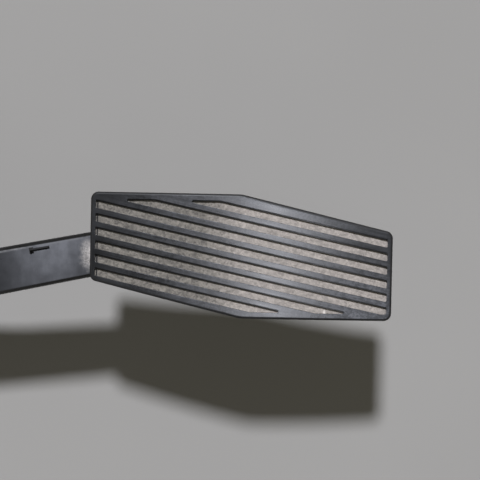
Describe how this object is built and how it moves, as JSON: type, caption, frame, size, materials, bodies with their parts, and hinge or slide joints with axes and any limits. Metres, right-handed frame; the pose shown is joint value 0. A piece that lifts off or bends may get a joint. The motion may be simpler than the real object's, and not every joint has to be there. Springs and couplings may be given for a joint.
{
  "type": "accelerator pedal",
  "caption": "Hanging accelerator pedal: six-sided grooved pad on a cranked arm, hinged in a moulded housing with return springs, friction plunger and a magnetic position sensor.",
  "frame": {"origin": "on the mounting face, straight below the pivot axis and halfway across the hub", "axes": "-Z is the mounting face's outward normal, +X runs along the pedal from the pivot to the pad, Y is the pivot axis"},
  "size_m": [0.317, 0.0849, 0.092],
  "materials": {
    "lever_plastic": "fine-grained moulding, dusty in the grooves",
    "housing_plastic": "glass-filled moulding",
    "cover_plastic": "glass-filled moulding",
    "pin_steel": "ground",
    "clip_steel": "phosphated",
    "sleeve_steel": "zinc plated",
    "screw_steel": "zinc plated",
    "spring_steel": "drawn wire",
    "bush_plastic": "natural bearing plastic",
    "plunger_plastic": "natural bearing plastic",
    "rotor_plastic": "moulded",
    "magnet": "sintered",
    "board": "solder resist",
    "chip": "moulded",
    "terminal_metal": "tin plated",
    "seal_rubber": "moulded",
    "buffer_rubber": "moulded"
  },
  "bodies": {
    "frame": {"housing": "housing_plastic", "mounting_sleeves": "sleeve_steel", "bush_left": "bush_plastic", "bush_right": "bush_plastic", "shaft_seal": "seal_rubber", "spring_cap": "housing_plastic", "cap_screws": "screw_steel", "idle_stop_buffer": "buffer_rubber", "full_stop_buffer": "buffer_rubber", "circuit_board": "board", "hall_sensors": "chip", "terminal_pins": "terminal_metal", "cover_gasket": "seal_rubber", "sensor_cover": "cover_plastic", "cover_screws": "screw_steel", "outer_return_spring": "spring_steel", "inner_return_spring": "spring_steel"},
    "pedal": {"pedal_lever": "lever_plastic", "pivot_pin": "pin_steel", "retaining_clip": "clip_steel", "magnet_rotor": "rotor_plastic", "sensor_magnets": "magnet"},
    "plunger": {"friction_plunger": "plunger_plastic"}
  },
  "joints": [
    {"name": "pedal_hinge", "type": "hinge", "parent": "frame", "child": "pedal", "pos_m": [0, 0, 0.039], "axis": [0, 1, 0], "range_deg": [0, 15], "stiffness_Nm_per_rad": 13, "springref_deg": -10.6},
    {"name": "plunger_slide", "type": "slide", "parent": "frame", "child": "plunger", "axis": [-1, 0, 0], "range_m": [0, 0.0057], "deforming": ["outer_return_spring", "inner_return_spring"]}
  ],
  "couplings": [
    {"joint": "plunger_slide", "follows": "pedal_hinge", "m_per_rad": 0.02175}
  ]
}
